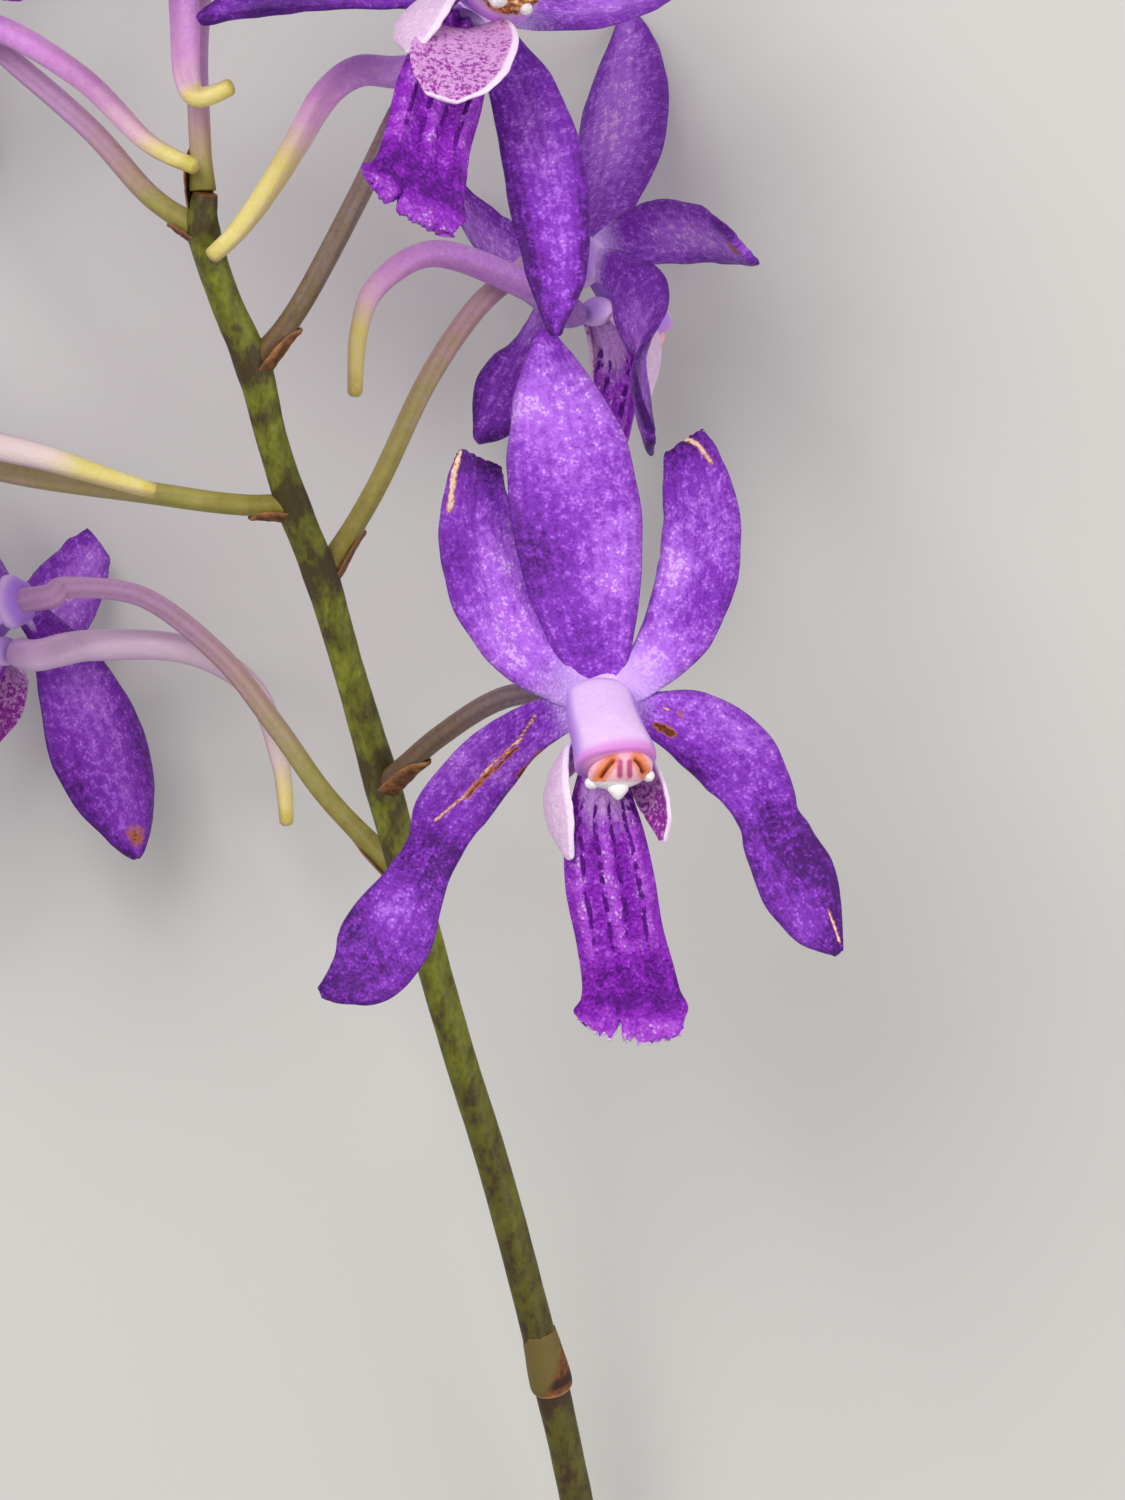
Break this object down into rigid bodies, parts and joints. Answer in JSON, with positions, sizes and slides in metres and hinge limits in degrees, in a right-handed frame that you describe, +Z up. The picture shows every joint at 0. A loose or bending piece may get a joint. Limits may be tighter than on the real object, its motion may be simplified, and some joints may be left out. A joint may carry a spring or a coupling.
{
  "type": "orchid flower spike",
  "caption": "Cut orchid flower spike lying on its side: a mottled green stem whose thin stalks carry open violet blooms with long curved nectar spurs and white-lilac columns",
  "frame": {"origin": "on the surface the spike lies on, under the middle of its bounding box", "axes": "+Y runs up along the spike from its cut end towards its tip, +X is to the right seen from above, and +Z is up from the surface the spike lies on"},
  "size_m": [0.0736, 0.151, 0.0541],
  "materials": {
    "tepal": "satin, finely mottled violet",
    "lip": "satin, deep violet with darker ridges",
    "spur": "satin, pink running to a yellow-green tip",
    "column": "satin, white-lilac",
    "anther": "satin, pink-cream with brown slits",
    "stalk": "satin, mauve-brown to yellow-green",
    "stem": "satin, green with dark purple-brown mottling"
  },
  "bodies": {
    "root": {"flower_1_tepals": "tepal", "flower_1_lip": "lip", "flower_1_spur": "spur", "flower_1_column": "column", "flower_1_anther_cap": "anther", "flower_1_stalk": "stalk", "flower_2_tepals": "tepal", "flower_2_lip": "lip", "flower_2_spur": "spur", "flower_2_column": "column", "flower_2_anther_cap": "anther", "flower_2_stalk": "stalk", "flower_3_tepals": "tepal", "flower_3_lip": "lip", "flower_3_spur": "spur", "flower_3_column": "column", "flower_3_anther_cap": "anther", "flower_3_stalk": "stalk", "flower_4_tepals": "tepal", "flower_4_lip": "lip", "flower_4_spur": "spur", "flower_4_column": "column", "flower_4_anther_cap": "anther", "flower_4_stalk": "stalk", "flower_5_tepals": "tepal", "flower_5_lip": "lip", "flower_5_spur": "spur", "flower_5_column": "column", "flower_5_anther_cap": "anther", "flower_5_stalk": "stalk", "flower_6_tepals": "tepal", "flower_6_lip": "lip", "flower_6_spur": "spur", "flower_6_column": "column", "flower_6_anther_cap": "anther", "flower_6_stalk": "stalk", "flower_7_tepals": "tepal", "flower_7_lip": "lip", "flower_7_spur": "spur", "flower_7_column": "column", "flower_7_anther_cap": "anther", "flower_7_stalk": "stalk", "stem": "stem"}
  },
  "joints": []
}
